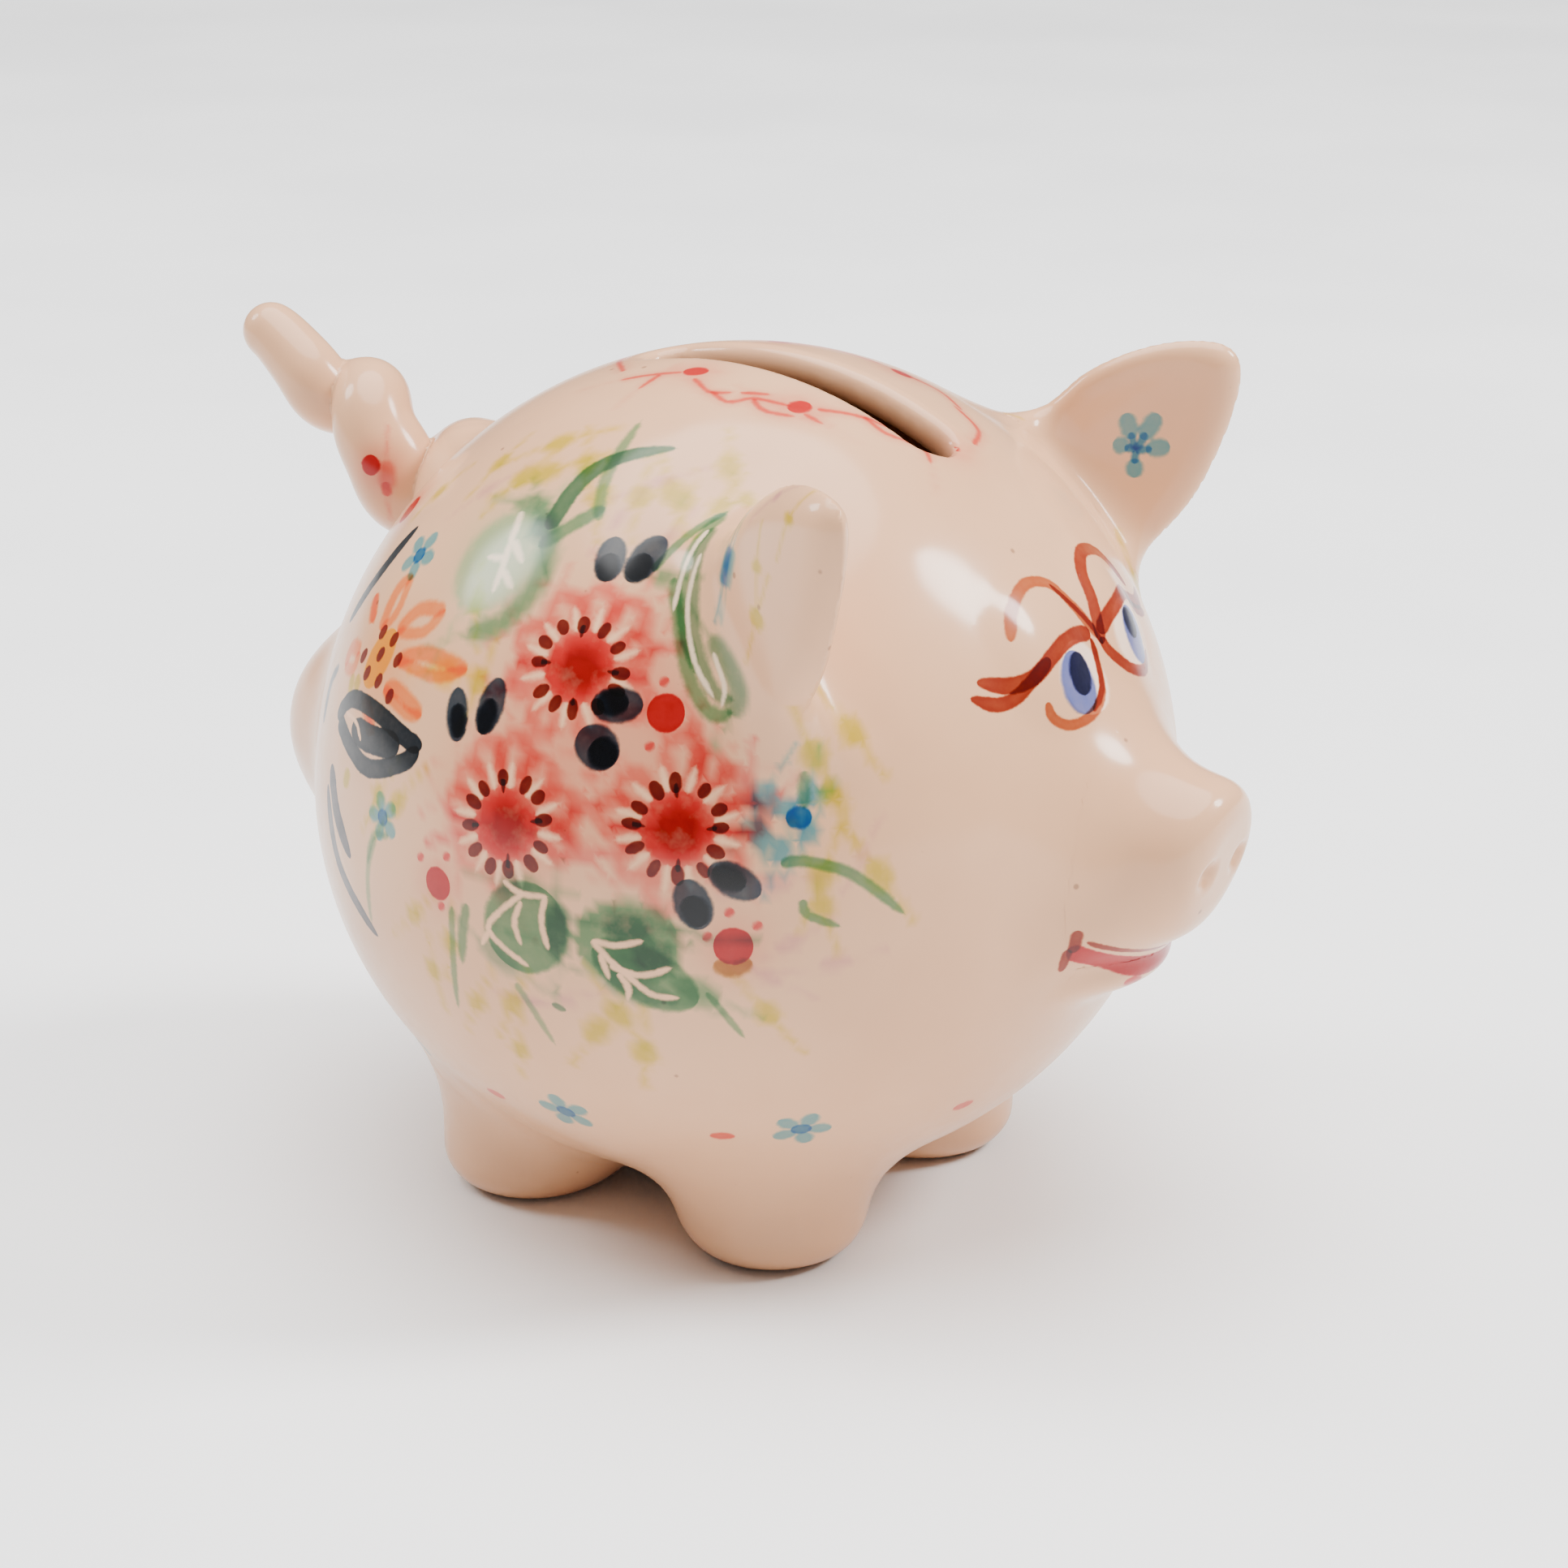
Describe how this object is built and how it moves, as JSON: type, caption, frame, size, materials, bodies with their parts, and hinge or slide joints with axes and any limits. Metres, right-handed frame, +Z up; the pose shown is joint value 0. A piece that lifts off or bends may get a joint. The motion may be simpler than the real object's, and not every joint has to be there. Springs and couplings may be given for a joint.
{
  "type": "piggy bank",
  "caption": "Round hollow glazed stoneware pig with a coin slot along its back, snout, cupped ears, curly tail and stumpy legs, and a rubber stopper in the belly.",
  "frame": {"origin": "centre of the whole pig's box, on the table plane under its feet", "axes": "+X forward along the snout, +Y to the pig's left, +Z up out of the coin slot"},
  "size_m": [0.1278, 0.096, 0.0953],
  "materials": {
    "glazed_stoneware": "glossy clear glaze over pale pinkish-beige stoneware, hand painted under the glaze",
    "plug_rubber": "matt black moulded rubber"
  },
  "bodies": {
    "pig": {"body_shell": "glazed_stoneware", "snout": "glazed_stoneware", "lower_jaw": "glazed_stoneware", "eye_right": "glazed_stoneware", "eye_left": "glazed_stoneware", "ear_right": "glazed_stoneware", "ear_left": "glazed_stoneware", "tail": "glazed_stoneware", "leg_front_right": "glazed_stoneware", "leg_front_left": "glazed_stoneware", "leg_rear_right": "glazed_stoneware", "leg_rear_left": "glazed_stoneware"},
    "stopper": {"stopper": "plug_rubber"}
  },
  "joints": [
    {"name": "stopper_pull", "type": "slide", "parent": "pig", "child": "stopper", "axis": [0, 0, -1], "range_m": [0, 0.02]}
  ]
}
